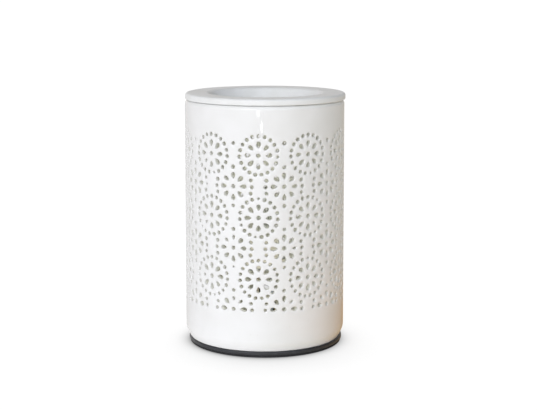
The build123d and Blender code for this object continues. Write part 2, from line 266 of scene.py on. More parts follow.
@dataclass(frozen=True)
class GlazedPorcelain:
    """Slip-cast porcelain under a clear glaze: cool white and softly rippled, bare and creamy inside.

    The mottle shifts the white very slightly, a few specks are darker, the ripple bends reflections slowly
    and the peel roughens their edges. Where the clay is bare it is rougher, and its colour is painted greyer
    and creamier as the shade inside the hollow.
    """

    name: str
    glaze: str = "#F1F2F2"
    glaze_shaded: str = "#EDEEED"
    # Bare clay inside: its own cream, painted greyer as the shade inside the hollow.
    bisque_and_inner_shade: str = "#D9D9CE"
    speck: str = "#B9B2A4"
    roughness: float = 0.03
    bare_roughness: float = 0.55
    ior: float = 1.5
    mottle_mm: float = 16.0
    mottle_span: Span = (0.35, 0.7)
    speck_mm: float = 4.0
    speck_span: Span = (0.03, 0.06)
    speck_share: float = 0.35
    ripple_mm: float = 16.0
    ripple_height_mm: float = 0.02
    peel_mm: float = 2.2
    peel_height_mm: float = 0.0008

    def glaze_colour(self, tree: Tree) -> Socket:
        """Adds the glaze's mottled white with its specks.

        Args:
            tree: node tree that gets the nodes.

        Returns:
            The colour.
        """
        mottle = ramp(tree, scaled_noise(tree, self.mottle_mm), self.mottle_span)
        white = blend_colours(tree, mottle, linear(self.glaze), linear(self.glaze_shaded))
        place = add_node(tree, "ShaderNodeTexCoord")
        specks = add_node(tree, "ShaderNodeTexVoronoi", {"feature": "F1"}, {
            "Vector": place.outputs["Object"], "Scale": 1 / (self.speck_mm * MM),
        })
        share = ramp(tree, specks.outputs["Distance"], self.speck_span, (self.speck_share, 0.0))
        return blend_colours(tree, share, white, linear(self.speck))

    def material(self) -> bpy.types.Material:
        """Builds the node material.

        Returns:
            The material.
        """
        material, tree, surface = new_material(self.name)
        # Bare clay is rougher, and its colour is painted toward the greyer inner shade.
        bare = add_node(tree, "ShaderNodeAttribute", {"attribute_name": "bare"}).outputs["Fac"]
        ripple = bumped(tree, scaled_noise(tree, self.ripple_mm, SMOOTH_DETAIL), self.ripple_height_mm)
        peel = bumped(tree, scaled_noise(tree, self.peel_mm, SMOOTH_DETAIL), self.peel_height_mm, ripple)
        shader = add_node(tree, "ShaderNodeBsdfPrincipled", None, {
            "Base Color": blend_colours(tree, bare, self.glaze_colour(tree), linear(self.bisque_and_inner_shade)),
            "Roughness": ramp(tree, bare, (0.0, 1.0), (self.roughness, self.bare_roughness)),
            "IOR": self.ior,
            "Normal": peel,
        })
        tree.links.new(shader.outputs[0], surface)
        return material


@dataclass(frozen=True)
class PlainFinish:
    """A finish with a base colour that varies softly, a worn roughness and a fine surface grain."""

    name: str
    colour: str
    colour_second: str
    roughness: float
    roughness_spread: float = 0.08
    metallic: float = 0.0
    grain_mm: float = 0.5
    grain_height_mm: float = 0.01
    grain_span: Span = (0.25, 0.75)
    patch_mm: float = 8.0
    patch_span: Span = (0.3, 0.7)
    stretch: Triple = (1.0, 1.0, 1.0)
    ior: float = 1.5
    transmission: float = 0.0

    def material(self) -> bpy.types.Material:
        """Builds the node material; a metal keeps the shader's own IOR.

        Returns:
            The material.
        """
        material, tree, surface = new_material(self.name)
        patch = ramp(tree, scaled_noise(tree, self.patch_mm), self.patch_span)
        grain = scaled_noise(tree, self.grain_mm, stretch=self.stretch)
        smoothest = max(self.roughness - self.roughness_spread, 0.0)
        roughest = self.roughness + self.roughness_spread
        inputs = {
            "Base Color": blend_colours(tree, patch, linear(self.colour), linear(self.colour_second)),
            "Roughness": ramp(tree, grain, self.grain_span, (smoothest, roughest)),
            "Metallic": self.metallic,
            "Normal": bumped(tree, grain, self.grain_height_mm),
            "Transmission Weight": self.transmission,
        }
        if not self.metallic:
            inputs["IOR"] = self.ior
        shader = add_node(tree, "ShaderNodeBsdfPrincipled", None, inputs)
        tree.links.new(shader.outputs[0], surface)
        return material


# Mesh helpers


@dataclass(frozen=True)
class Corner:
    """A corner of a turned outline."""

    radius: float
    height: float
    rounding: float = 0.0


def rounded_outline(
    corners: Sequence[Corner], arc_step: float = 12.0, guard: float = 0.25 * MM,
) -> list[Place]:
    """Draws an outline through corners, with arcs where they are rounded.

    Args:
        corners: the corners in order; the first and the last stay sharp.
        arc_step: largest angle of one arc step, in degrees.
        guard: distance from a corner at which a straight run gets a guard point.

    Returns:
        Points (radius, height).
    """
    points: list[Vector] = []
    places = [Vector((corner.radius, corner.height)) for corner in corners]
    for number, corner in enumerate(corners):
        place = places[number]
        if not corner.rounding or number in (0, len(corners) - 1):
            points.append(place)
            continue
        towards_before = (places[number - 1] - place).normalized()
        towards_after = (places[number + 1] - place).normalized()
        half = towards_before.angle(towards_after) / 2
        centre = place + (towards_before + towards_after).normalized() * (corner.rounding / math.sin(half))
        start = place + towards_before * (corner.rounding / math.tan(half)) - centre
        end = place + towards_after * (corner.rounding / math.tan(half)) - centre
        sweep = math.pi - 2 * half
        spread = math.sin(sweep)
        steps = max(2, math.ceil(math.degrees(sweep) / arc_step))
        for step in range(steps + 1):
            along = step / steps
            from_start = start * (math.sin((1 - along) * sweep) / spread)
            from_end = end * (math.sin(along * sweep) / spread)
            points.append(centre + (from_start + from_end))
    guarded: list[Place] = []
    for first, second in zip(points, points[1:]):
        guarded.append((first.x, first.y))
        length = (second - first).length
        if length > GUARDS_IN_A_RUN * guard:
            for share in (guard / length, 1 - guard / length):
                between = first.lerp(second, share)
                guarded.append((between.x, between.y))
    guarded.append((points[-1].x, points[-1].y))
    return guarded


def finished(bm: Mesh, name: str, sharp_degrees: float = 50.0) -> bpy.types.Object:
    """Turns a bmesh into a smooth shaded object with its faces outwards.

    Args:
        bm: the mesh, which is freed.
        name: the piece's name.
        sharp_degrees: edges that bend more than this stay sharp.

    Returns:
        The new object, linked to the scene.
    """
    bmesh.ops.remove_doubles(bm, verts=bm.verts[:], dist=WELD)
    bmesh.ops.recalc_face_normals(bm, faces=bm.faces[:])
    for face in bm.faces:
        face.smooth = True
    mesh = bpy.data.meshes.new(name)
    bm.to_mesh(mesh)
    bm.free()
    mesh.set_sharp_from_angle(angle=math.radians(sharp_degrees))
    piece = bpy.data.objects.new(name, mesh)
    bpy.context.scene.collection.objects.link(piece)
    return piece


def turned(name: str, outline: Sequence[Place], steps: int, aside: float = 0.0) -> bpy.types.Object:
    """Spins an outline (radius, height) about Z into a piece.

    Args:
        name: the piece's name.
        outline: points from one end to the other, both on the axis.
        steps: number of steps in the full turn.
        aside: how far the axis lies to the right of the burner's own.

    Returns:
        The new object.
    """
    bm = bmesh.new()
    verts = [bm.verts.new((radius, 0, height)) for radius, height in outline]
    edges = [bm.edges.new(pair) for pair in zip(verts, verts[1:])]
    bmesh.ops.spin(
        bm, geom=verts + edges, cent=(0, 0, 0), axis=(0, 0, 1), angle=math.tau, steps=steps, use_merge=True,
    )
    bmesh.ops.translate(bm, vec=(aside, 0, 0), verts=bm.verts[:])
    return finished(bm, name)


def loop_edges(bm: Mesh, loop: Ring) -> list[bmesh.types.BMEdge]:
    """Finds the edges of a closed loop.

    Args:
        bm: the mesh.
        loop: the loop's vertices in order.

    Returns:
        The edges, the first one between the last vertex and the first.
    """
    return [bm.edges.get((loop[number - 1], loop[number])) for number in range(len(loop))]


def extruded_loops(bm: Mesh, loops: Sequence[Ring]) -> list[Ring]:
    """Extrudes closed loops.

    Args:
        bm: the mesh.
        loops: the loops.

    Returns:
        The new loops in the same order.
    """
    edges = [edge for loop in loops for edge in loop_edges(bm, loop)]
    made = bmesh.ops.extrude_edge_only(bm, edges=edges)["geom"]
    new = {item for item in made if isinstance(item, Vert)}

    def copy_of(vert: Vert) -> Vert:
        """The new vertex that a vertex was extruded to."""
        return next(edge.other_vert(vert) for edge in vert.link_edges if edge.other_vert(vert) in new)

    return [[copy_of(vert) for vert in loop] for loop in loops]


def carry_ring(bm: Mesh, ring: Ring, profile: Sequence[Place]) -> Ring:
    """Extrudes a ring about Z along a profile.

    Args:
        bm: the mesh.
        ring: closed loop of vertices about Z.
        profile: the radius and height of each further ring.

    Returns:
        The last ring.
    """
    angles = [math.atan2(vert.co.y, vert.co.x) for vert in ring]
    for radius, height in profile:
        ring = extruded_loops(bm, [ring])[0]
        for vert, angle in zip(ring, angles):
            vert.co = (radius * math.cos(angle), radius * math.sin(angle), height)
    return ring


# Pierced shade


@dataclass
class Hole:
    """One hole by its outline on the unrolled wall, anticlockwise, as (across, height) in metres."""

    outline: list[Place]
    edge: float


def inward_normals(outline: Sequence[Place]) -> list[Place]:
    """Finds the directions that point into an outline.

    Args:
        outline: its points, anticlockwise.

    Returns:
        One unit vector for each point.
    """
    normals = []
    for number in range(len(outline)):
        before, after = outline[number - 1], outline[(number + 1) % len(outline)]
        along = Vector((after[0] - before[0], after[1] - before[1])).normalized()
        normals.append((-along.y, along.x))
    return normals


def is_inside(point: Place, polygon: Sequence[Place]) -> bool:
    """Tells whether a point lies inside a polygon.

    Args:
        point: the point.
        polygon: the polygon's corners in order.

    Returns:
        True inside and False outside.
    """
    inside = False
    for number in range(len(polygon)):
        (x1, y1), (x2, y2) = polygon[number - 1], polygon[number]
        if (y1 > point[1]) != (y2 > point[1]):
            if point[0] < (x2 - x1) * (point[1] - y1) / (y2 - y1) + x1:
                inside = not inside
    return inside


@dataclass
class PiercedSheet:
    """A sheet with holes: triangles laid out round them, their edges rounded, and an inner side.

    place turns (across, up, depth) into a point in space, and flat turns (across, up) into the plane where
    the triangles are laid out. Each hole's edge goes through edge_turns and then straight to the inner side.
    At each of these rings the clay is bare by the given share, and its colour is painted that far toward the
    greyer inner shade.
    """

    place: Callable[[float, float, float], Vector]
    flat: Callable[[float, float], Place]
    thickness: float
    holes: list[Hole]
    outer_rim: list[Place]
    inner_rim: list[Place]
    fillers: list[Place]
    edge_turns: tuple[float, ...] = (math.pi / 4, math.pi / 2)
    edge_bareness_and_shade: tuple[float, ...] = (0.0, 0.3, 1.0)
    normals: list[list[Place]] = field(init=False)

    def __post_init__(self) -> None:
        """Works out the directions into each hole."""
        self.normals = [inward_normals(hole.outline) for hole in self.holes]

    def triangles(self, points: list[Place], loops: list[list[int]]) -> list[list[int]]:
        """Lays triangles between the loops, by Delaunay triangulation of the laid out points.

        Args:
            points: every point of the sheet.
            loops: the points of the outer rim, the inner rim and each hole, by number.

        Returns:
            The corners of each triangle, by number.
        """
        flat_points = [self.flat(*point) for point in points]
        vectors = [Vector(point) for point in flat_points]
        edges = [(loop[number - 1], loop[number]) for loop in loops for number in range(len(loop))]
        _, _, faces, sources, _, _ = delaunay_2d_cdt(vectors, edges, [], 0, LAYOUT_TOLERANCE)
        owner = {index: number for number, loop in enumerate(loops) for index in loop}
        kept = []
        for face in faces:
            corners = [sources[index][0] for index in face]
            owners = {owner.get(index) for index in corners}
            only = owners.pop()
            if not owners and only not in (None, OUTER_RIM):
                places = [flat_points[index] for index in corners]
                middle = tuple(sum(values) / len(corners) for values in zip(*places))
                if is_inside(middle, [flat_points[index] for index in loops[only]]):
                    continue
            kept.append(corners)
        return kept

    def pierce(self, bm: Mesh, bare: bmesh.types.BMLayerItem, rings: list[Ring]) -> None:
        """Carries the holes' edges round their rounding and through the sheet.

        Args:
            bm: the mesh.
            bare: vertex layer that is 0 under glaze and 1 where the clay is bare and painted as inner shade.
            rings: each hole's outline on the outer side.
        """
        shares = [(math.sin(turn), 1 - math.cos(turn)) for turn in self.edge_turns] + [(1.0, None)]
        # Each ring's share is its bareness and how far its colour is painted toward the inner shade.
        for (inset_share, depth_share), bareness_and_shade in zip(shares, self.edge_bareness_and_shade):
            rings = extruded_loops(bm, rings)
            for hole, ring, normal in zip(self.holes, rings, self.normals):
                depth = self.thickness if depth_share is None else depth_share * hole.edge
                inset = inset_share * hole.edge
                for vert, (across, up), (side, rise) in zip(ring, hole.outline, normal):
                    vert.co = self.place(across + side * inset, up + rise * inset, depth)
                    vert[bare] = bareness_and_shade

    def build(self, bm: Mesh, bare: bmesh.types.BMLayerItem) -> tuple[list[Ring], list[Ring]]:
        """Adds the sheet to a mesh.

        Args:
            bm: the mesh.
            bare: vertex layer that is 0 under glaze and 1 where the clay is bare and painted as inner shade.

        Returns:
            The outer side's rims and the inner side's rims, each as the outer and the inner rim's loop.
        """
        points: list[Place] = []
        loops: list[list[int]] = []
        for outline in [self.outer_rim, self.inner_rim] + [hole.outline for hole in self.holes]:
            loops.append(list(range(len(points), len(points) + len(outline))))
            points += outline
        points += self.fillers
        rims, hole_loops = loops[:2], loops[2:]
        outer = [bm.verts.new(self.place(across, up, 0.0)) for across, up in points]
        corners_of_faces = self.triangles(points, loops)
        faces = [bm.faces.new([outer[index] for index in corners]) for corners in corners_of_faces]
        copied = bmesh.ops.duplicate(bm, geom=outer + faces)["vert_map"]
        inner = [copied[vert] for vert in outer]
        for vert, (across, up) in zip(inner, points):
            vert.co = self.place(across, up, self.thickness)
            vert[bare] = 1.0
        self.pierce(bm, bare, [[outer[index] for index in loop] for loop in hole_loops])
        for hole, loop, normal in zip(self.holes, hole_loops, self.normals):
            for index, (across, up), (side, rise) in zip(loop, hole.outline, normal):
                inner[index].co = self.place(across + side * hole.edge, up + rise * hole.edge, self.thickness)
        outside, within = ([[side[index] for index in loop] for loop in rims] for side in (outer, inner))
        return outside, within


@dataclass
class Lace:
    """Rosettes of petals and dots on the unrolled wall, slightly uneven as cut by hand.

    Angles are in degrees, clockwise from straight up. The main rosettes have a full ring of dots; the second
    ones, between them, have dots above, below and at side_dot_angles on both sides. The lowest second
    rosettes are cut off half way. A dot below small_dots_below loses dot_loss_per_metre of its radius for
    each metre.
    """

    radius: float
    columns: int = 10
    turn: float = -4.1
    top_row: float = 119.0 * MM
    pitch: float = 36.0 * MM
    rows: int = 3
    centre_dot: float = 1.38 * MM
    ring_dot: float = 1.18 * MM
    ring_radius: float = 11.15 * MM
    ring_count: int = 19
    petal_start: float = 4.2 * MM
    petal_end: float = 8.1 * MM
    petal_width: float = 2.6 * MM
    petal_point: float = 0.65
    petal_count: int = 8
    upper_petals: tuple[float, ...] = (-90.0, -45.0, 0.0, 45.0, 90.0)
    side_dot_angles: tuple[float, ...] = (71.0, 91.0, 110.0)
    upper_side_dots: int = 4
    edge: float = 0.32 * MM
    edge_share: Span = (0.8, 1.2)
    size_share: Span = (0.93, 1.06)
    clogged_holes_share: float = 0.07
    clogged_edge_share: float = 1.7
    clogged_size_share: Span = (0.68, 0.8)
    unevenness: float = 0.1 * MM
    lean: float = 0.06
    squeeze: float = 0.05
    small_dots_below: float = 115.0 * MM
    dot_loss_per_metre: float = 1.1
    dot_points: int = 13
    petal_points: int = 19
    seed: int = 11
    holes: list[Hole] = field(default_factory=list)
    hand: random.Random = field(init=False)

    def __post_init__(self) -> None:
        """Starts the hand's unevenness."""
        self.hand = random.Random(self.seed)

    def wobble(self, amount: float) -> float:
        """A small uneven length or share, up to the amount either way."""
        return self.hand.uniform(-amount, amount)

    def edge_and_size(self) -> tuple[float, float]:
        """Draws how far one hole's edge is rounded, and how much glaze has closed it.

        Returns:
            The rounding, and the hole's size as a share of the plain one.
        """
        if self.hand.random() < self.clogged_holes_share:
            return self.edge * self.clogged_edge_share, self.hand.uniform(*self.clogged_size_share)
        return self.edge * self.hand.uniform(*self.edge_share), self.hand.uniform(*self.size_share)

    def add_hole(self, across: float, up: float, shape: Shape, points: int) -> None:
        """Adds one hole of a shape round a place.

        Args:
            across: place along the unrolled wall.
            up: height of the place.
            shape: turns an angle into a point of the outline, before the edge is rounded.
            points: number of points.
        """
        edge, size = self.edge_and_size()
        across += self.wobble(self.unevenness)
        up += self.wobble(self.unevenness)
        lean = self.wobble(self.lean)
        squeeze = self.wobble(self.squeeze)
        phase = self.hand.uniform(0, math.tau)
        plain = [shape(math.tau * number / points) for number in range(points)]
        grown = [
            (x - side * edge, y - rise * edge)
            for (x, y), (side, rise) in zip(plain, inward_normals(plain))
        ]
        outline = []
        for x, y in grown:
            swell = size * (1 + squeeze * math.cos(2 * math.atan2(y, x) + phase))
            outline.append((across + swell * (x - lean * y), up + swell * (y + lean * x)))
        self.holes.append(Hole(outline, edge))

    def dot(self, across: float, up: float, radius: float) -> None:
        """Adds a round hole, a little smaller lower down the wall.

        Args:
            across: place of its middle along the unrolled wall.
            up: height of its middle.
            radius: its plain radius.
        """
        radius *= 1 - self.dot_loss_per_metre * max(0.0, self.small_dots_below - up)

        def shape(angle: float) -> Place:
            """A point of the circle."""
            return (radius * math.cos(angle), radius * math.sin(angle))

        self.add_hole(across, up, shape, self.dot_points)

    def petal(self, across: float, up: float, heading: float) -> None:
        """Adds a teardrop that points to its rosette's centre.

        Args:
            across: place of the rosette's centre along the unrolled wall.
            up: height of the rosette's centre.
            heading: direction of the petal from there, clockwise from straight up, in radians.
        """
        middle = (self.petal_start + self.petal_end) / 2
        half_length = (self.petal_end - self.petal_start) / 2
        point = self.petal_point
        # The plain teardrop's largest reach sideways; dividing by it makes petal_width the real width.
        widest = 2 * ((1 + point) / (2 + point)) ** ((1 + point) / 2) / math.sqrt(2 + point)

        def shape(angle: float) -> Place:
            """A point of the teardrop, turned to its heading."""
            side = self.petal_width / 2 * math.sin(angle) * abs(math.sin(angle / 2)) ** point / widest
            along = -half_length * math.cos(angle)
            return (along * math.sin(heading) - side * math.cos(heading),
                    along * math.cos(heading) + side * math.sin(heading))

        plain = [shape(math.tau * number / self.petal_points) for number in range(self.petal_points)]
        area = sum(first[0] * second[1] - second[0] * first[1] for first, second in zip(plain, plain[1:]))
        direction = 1 if area > 0 else -1
        self.add_hole(
            across + middle * math.sin(heading), up + middle * math.cos(heading),
            lambda angle: shape(direction * angle), self.petal_points,
        )

    def rosette(self, across: float, up: float, petals: Sequence[float], dots: Sequence[float]) -> None:
        """Adds a rosette.

        Args:
            across: place of its centre along the unrolled wall.
            up: height of its centre.
            petals: headings of its petals, clockwise from straight up, in degrees.
            dots: headings of the dots on its ring.
        """
        self.dot(across, up, self.centre_dot)
        for degrees in petals:
            self.petal(across, up, math.radians(degrees))
        for degrees in dots:
            heading = math.radians(degrees)
            self.dot(
                across + self.ring_radius * math.sin(heading), up + self.ring_radius * math.cos(heading),
                self.ring_dot,
            )

    def draw(self) -> list[Hole]:
        """Draws the whole lace.

        Returns:
            Its holes.
        """
        all_petals = [360 / self.petal_count * number for number in range(self.petal_count)]
        all_dots = [360 / self.ring_count * number for number in range(self.ring_count)]
        side_dots = [angle * side for angle in self.side_dot_angles for side in (1, -1)]
        for column in range(self.columns):
            across = self.radius * math.radians(self.turn + 360 / self.columns * column)
            between = across + self.radius * math.radians(180 / self.columns)
            self.dot(between, self.top_row + self.pitch / 2 - self.ring_radius, self.ring_dot)
            for row in range(self.rows):
                height = self.top_row - row * self.pitch
                self.rosette(across, height, all_petals, all_dots)
                lower = height - self.pitch / 2
                if row < self.rows - 1:
                    self.rosette(between, lower, all_petals, [0, 180] + side_dots)
                else:
                    self.rosette(between, lower, self.upper_petals, [0] + side_dots[:self.upper_side_dots])
        return self.holes


@dataclass
class PiercedShade:
    """The white porcelain shade with its lace, standing on the black plate.

    The wall is laid out as a sheet between sheet_low and sheet_high. The mouth lies mouth_drop below the
    solid's and the wall narrows by taper up to it, as in the photograph.
    """

    wall: float = 3.6 * MM
    floor: float = 4.0 * MM
    foot_radius: float = 45.6 * MM
    foot_taper: float = 5.2 * MM
    foot_rounding: float = 9.0 * MM
    foot_edge: float = 0.4 * MM
    shoulder: float = 2.3 * MM
    mouth_rounding: float = 0.6 * MM
    mouth_drop: float = 0.45 * MM
    taper: float = 0.3 * MM
    floor_rounding: float = 2.5 * MM
    sheet_low: float = 11.6 * MM
    sheet_high: float = 144.6 * MM
    ring_points: int = 144
    cord_hole: float = 4.5 * MM
    cord_height: float = 20.0 * MM
    cord_hole_edge: float = 0.05 * MM
    cord_hole_points: int = 32
    filler_step: float = 2.3 * MM
    filler_gap: float = 0.75 * MM
    # Height of a row of equal triangles, as a share of their side.
    row_share: float = math.sqrt(0.75)
    radius: float = field(init=False)
    bottom: float = field(init=False)
    top: float = field(init=False)

    def __post_init__(self) -> None:
        """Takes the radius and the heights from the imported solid."""
        low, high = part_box("pierced_shade")
        self.radius = high.x
        self.bottom = low.z
        self.top = high.z - self.mouth_drop

    def roll(self, across: float, up: float, depth: float) -> Vector:
        """Rolls a place on the unrolled wall onto the cylinder.

        Args:
            across: place along the wall, 0 at the front.
            up: height.
            depth: how far it lies under the outer side.

        Returns:
            The point in space.
        """
        angle = across / self.radius
        climb = (up - self.sheet_low) / (self.sheet_high - self.sheet_low)
        reach = self.radius - self.taper * climb - depth
        return Vector((reach * math.sin(angle), -reach * math.cos(angle), up))

    def unroll_flat(self, across: float, up: float) -> Place:
        """Lays the wall out as a ring in a plane, without a seam and without bending small shapes.

        Args:
            across: place along the wall.
            up: height.

        Returns:
            The point in the plane.
        """
        reach = math.exp((up - self.sheet_low) / self.radius)
        angle = across / self.radius
        return (reach * math.cos(angle), reach * math.sin(angle))

    def rim(self, height: float) -> list[Place]:
        """Points of a level ring on the wall at a height."""
        step = math.tau * self.radius / self.ring_points
        return [(number * step, height) for number in range(self.ring_points)]

    def fillers(self, holes: Sequence[Hole]) -> list[Place]:
        """Spreads points between the holes, to keep the wall's triangles small enough to look round.

        Args:
            holes: the holes to stay clear of.

        Returns:
            The points.
        """
        width = math.tau * self.radius
        owners = [hole for hole in holes for _ in hole.outline]
        tree = KDTree(len(owners))
        for number, (across, up) in enumerate(point for hole in holes for point in hole.outline):
            tree.insert(self.roll(across, up, 0.0), number)
        tree.balance()
        found = []
        rows = int((self.sheet_high - self.sheet_low) / (self.filler_step * self.row_share))
        columns = round(width / self.filler_step)
        for row in range(1, rows):
            up = self.sheet_low + row * (self.sheet_high - self.sheet_low) / rows
            for number in range(columns):
                across = (number + row % 2 / 2) * width / columns
                _, nearest, gap = tree.find(self.roll(across, up, 0.0))
                outline = owners[nearest].outline
                unwound = across + round((outline[0][0] - across) / width) * width
                if gap > self.filler_gap and not is_inside((unwound, up), outline):
                    found.append((across, up))
        return found

    def cord_passage(self) -> Hole:
        """The round hole in the back where the grommet sits.

        Returns:
            The hole.
        """
        behind = math.pi * self.radius
        angles = [math.tau * number / self.cord_hole_points for number in range(self.cord_hole_points)]
        outline = [
            (behind + self.cord_hole * math.cos(angle), self.cord_height + self.cord_hole * math.sin(angle))
            for angle in angles
        ]
        return Hole(outline, self.cord_hole_edge)

    def over_the_mouth(self) -> list[Place]:
        """Draws the shade's upper edge, from the outer side of the wall to the inner one.

        Returns:
            Points (radius, height).
        """
        outside = self.radius - self.taper
        inside = self.radius - self.wall - self.taper
        return rounded_outline([
            Corner(outside, self.sheet_high),
            Corner(outside, self.top, self.shoulder),
            Corner(inside, self.top, self.mouth_rounding),
            Corner(inside, self.sheet_high),
        ])[1:]

    def under_the_foot(self) -> list[Place]:
        """Draws the shade's foot, from the outer side of the wall to the axis.

        Returns:
            Points (radius, height).
        """
        return rounded_outline([
            Corner(self.radius, self.sheet_low),
            Corner(self.radius, self.bottom + self.foot_taper, self.foot_rounding),
            Corner(self.foot_radius, self.bottom, self.foot_edge),
            Corner(0, self.bottom),
        ])[1:]

    def over_the_floor(self) -> list[Place]:
        """Draws the shade's floor inside, from the inner side of the wall to the axis.

        Returns:
            Points (radius, height).
        """
        inside = self.radius - self.wall
        floor_top = self.bottom + self.floor
        return rounded_outline([
            Corner(inside, self.sheet_low),
            Corner(inside, floor_top, self.floor_rounding),
            Corner(0, floor_top),
        ])[1:]

    def build(self) -> bpy.types.Object:
        """Models the shade and places it on the burner's body.

        Returns:
            The shade.
        """
        holes = Lace(self.radius).draw() + [self.cord_passage()]
        sheet = PiercedSheet(
            self.roll, self.unroll_flat, self.wall, holes,
            self.rim(self.sheet_high), self.rim(self.sheet_low), self.fillers(holes),
        )
        bm = bmesh.new()
        # Bare clay inside the shade and its holes: rougher, and painted greyer as the inner shade.
        bare = bm.verts.layers.float.new("bare")
        outside, within = sheet.build(bm, bare)
        carry_ring(bm, outside[0], self.over_the_mouth())
        carry_ring(bm, outside[1], self.under_the_foot())
        ring = within[1]
        for point in self.over_the_floor():
            ring = carry_ring(bm, ring, [point])
            for vert in ring:
                vert[bare] = 1.0
        shade = finished(bm, "shade")
        # The white glaze gives the wall its brightness and the narrow highlight of the window.
        shade.data.materials.append(GlazedPorcelain("glazed_porcelain").material())
        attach(shade, Body.BURNER.value)
        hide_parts("pierced_shade")
        log.info("shade: %d holes, %d faces", len(holes), len(shade.data.polygons))
        return shade


# Dish, base and the parts inside


@dataclass
class OilDish:
    """The loose dish: a flat rim with soft edges, a deep well and a ring that keeps it in the mouth.

    Its rim is narrower than the solid's by the play and lies that far to the right, as in the photograph.
    """

    rim_edge: float = 1.6 * MM
    rim_lower_edge: float = 0.65 * MM
    rim_thickness: float = 3.9 * MM
    lip_radius: float = 34.0 * MM
    lip_rounding: float = 3.0 * MM
    well_radius: float = 27.0 * MM
    well_depth: float = 12.5 * MM
    well_rounding: float = 5.0 * MM
    floor: float = 3.4 * MM
    wall: float = 3.8 * MM
    ring_radius: float = 43.2 * MM
    ring_depth: float = 3.0 * MM
    ring_root: float = 0.3 * MM
    ring_edge: float = 0.8 * MM
    ring_inner_edge: float = 0.5 * MM
    belly: float = 4.0 * MM
    belly_rounding: float = 2.0 * MM
    play: float = 0.4 * MM
    steps: int = 160
    # Satin glaze: a broad soft sheen on the rim and in the well, without a sharp reflection.
    finish: GlazedPorcelain = GlazedPorcelain("satin_porcelain", "#F0F2F2", "#E9EBE9", roughness=0.32)

    def outline(self, radius: float, top: float) -> list[Place]:
        """Draws the dish's section, from the middle of the well round the rim to the middle underneath.

        Args:
            radius: radius of the rim.
            top: height of the rim's upper side.

        Returns:
            Points (radius, height).
        """
        seat = top - self.rim_thickness
        ring_bottom = seat - self.ring_depth
        bottom = top - self.well_depth
        underside = bottom - self.floor
        belly_radius = self.well_radius + self.wall
        return rounded_outline([
            Corner(0, bottom),
            Corner(self.well_radius, bottom, self.well_rounding),
            Corner(self.lip_radius, top, self.lip_rounding),
            Corner(radius, top, self.rim_edge),
            Corner(radius, seat, self.rim_lower_edge),
            Corner(self.ring_radius, seat, self.ring_root),
            Corner(self.ring_radius, ring_bottom, self.ring_edge),
            Corner(self.lip_radius + self.wall, ring_bottom, self.ring_inner_edge),
            Corner(belly_radius, underside + self.belly, self.belly_rounding),
            Corner(belly_radius - self.belly, underside, self.belly_rounding),
            Corner(0, underside),
        ])

    def build(self) -> bpy.types.Object:
        """Models the dish and places it on the dish's body.

        Returns:
            The dish.
        """
        _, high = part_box("oil_dish")
        dish = turned("dish", self.outline(high.x - self.play, high.z), self.steps, self.play)
        dish.data.materials.append(self.finish.material())
        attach(dish, Body.DISH.value)
        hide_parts("oil_dish")
        log.info("dish: %d faces", len(dish.data.polygons))
        return dish


@dataclass
class BlackBase:
    """The black plate under the shade and the soft pad under the plate.

    Both are wider than the solids by the spread and lie a little to the right, as in the photograph. The
    rounding of a lower edge is the upper edge's divided by lower_edge_parts.
    """

    plate_edge: float = 0.8 * MM
    pad_edge: float = 0.4 * MM
    lower_edge_parts: float = 3.0
    spread: float = 0.5 * MM
    aside: float = 0.4 * MM
    steps: int = 160
    # Moulded plastic: near black and a little blue, with a soft sheen that draws a grey line along its edge.
    plate_finish: PlainFinish = PlainFinish(
        "moulded_abs", "#26272B", "#2C2E33", 0.38, grain_mm=0.35, grain_height_mm=0.006,
    )
    # Foamed rubber: darker and matt, it lets the plate's edge end in shade.
    pad_finish: PlainFinish = PlainFinish(
        "cell_rubber", "#1B1C1F", "#222327", 0.85, grain_mm=0.6, grain_height_mm=0.08,
    )

    def build(self) -> list[bpy.types.Object]:
        """Models the plate and the pad and places them on the burner's body.

        Returns:
            The plate and the pad.
        """
        pieces = []
        for node, name, edge, finish, slot in (
            ("base_plate", "plate", self.plate_edge, self.plate_finish, "plastic_black"),
            ("foot_pad", "pad", self.pad_edge, self.pad_finish, "foam_black"),
        ):
            low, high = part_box(node)
            outline = rounded_outline([
                Corner(0, low.z),
                Corner(high.x + self.spread, low.z, edge / self.lower_edge_parts),
                Corner(high.x + self.spread, high.z, edge),
                Corner(0, high.z),
            ])
            piece = turned(name, outline, self.steps, self.aside)
            piece.data.materials.append(finish.material())
            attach(piece, Body.BURNER.value)
            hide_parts(node)
            log.info("%s: %d faces", name, len(piece.data.polygons))
            pieces.append(piece)
        return pieces


